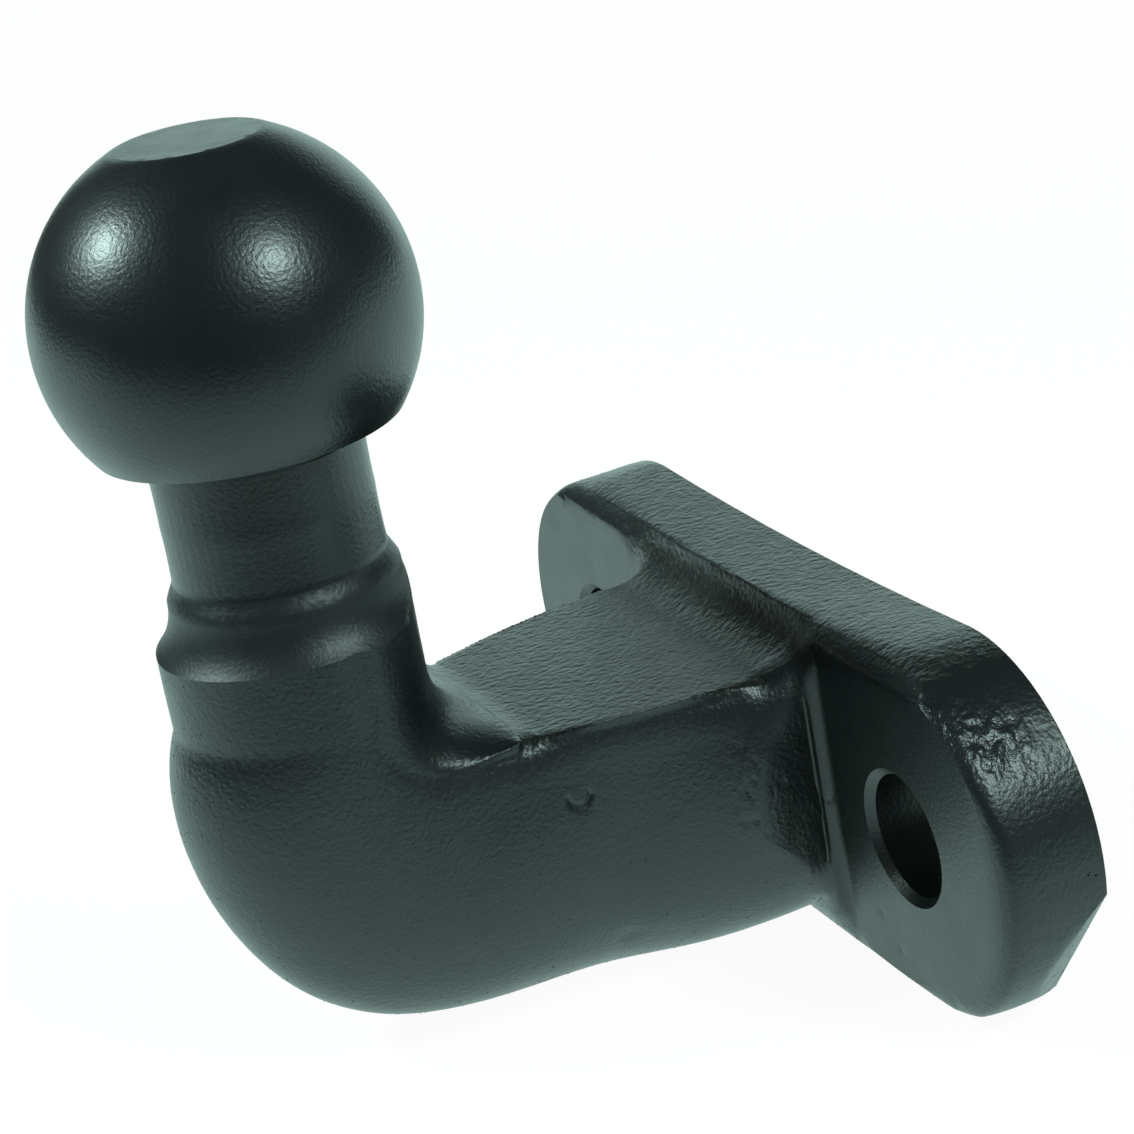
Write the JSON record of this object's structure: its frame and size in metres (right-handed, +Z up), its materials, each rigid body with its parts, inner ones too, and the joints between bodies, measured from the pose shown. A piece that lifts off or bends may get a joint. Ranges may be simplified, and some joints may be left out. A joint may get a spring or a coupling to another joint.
{
  "type": "flange tow ball",
  "caption": "Black forged tow ball on a short bent arm, with an oval flange drilled for bolts, for a car's tow bar.",
  "frame": {"origin": "on the flange's mounting face, midway between its bolt holes", "axes": "+X from bolt hole to bolt hole, +Y out of the mounting face, away from the ball, +Z up along the ball's neck"},
  "size_m": [0.1404, 0.1, 0.1278],
  "materials": {
    "black_paint": "satin black paint over forged and turned steel"
  },
  "bodies": {
    "root": {"tow_ball": "black_paint"}
  },
  "joints": []
}
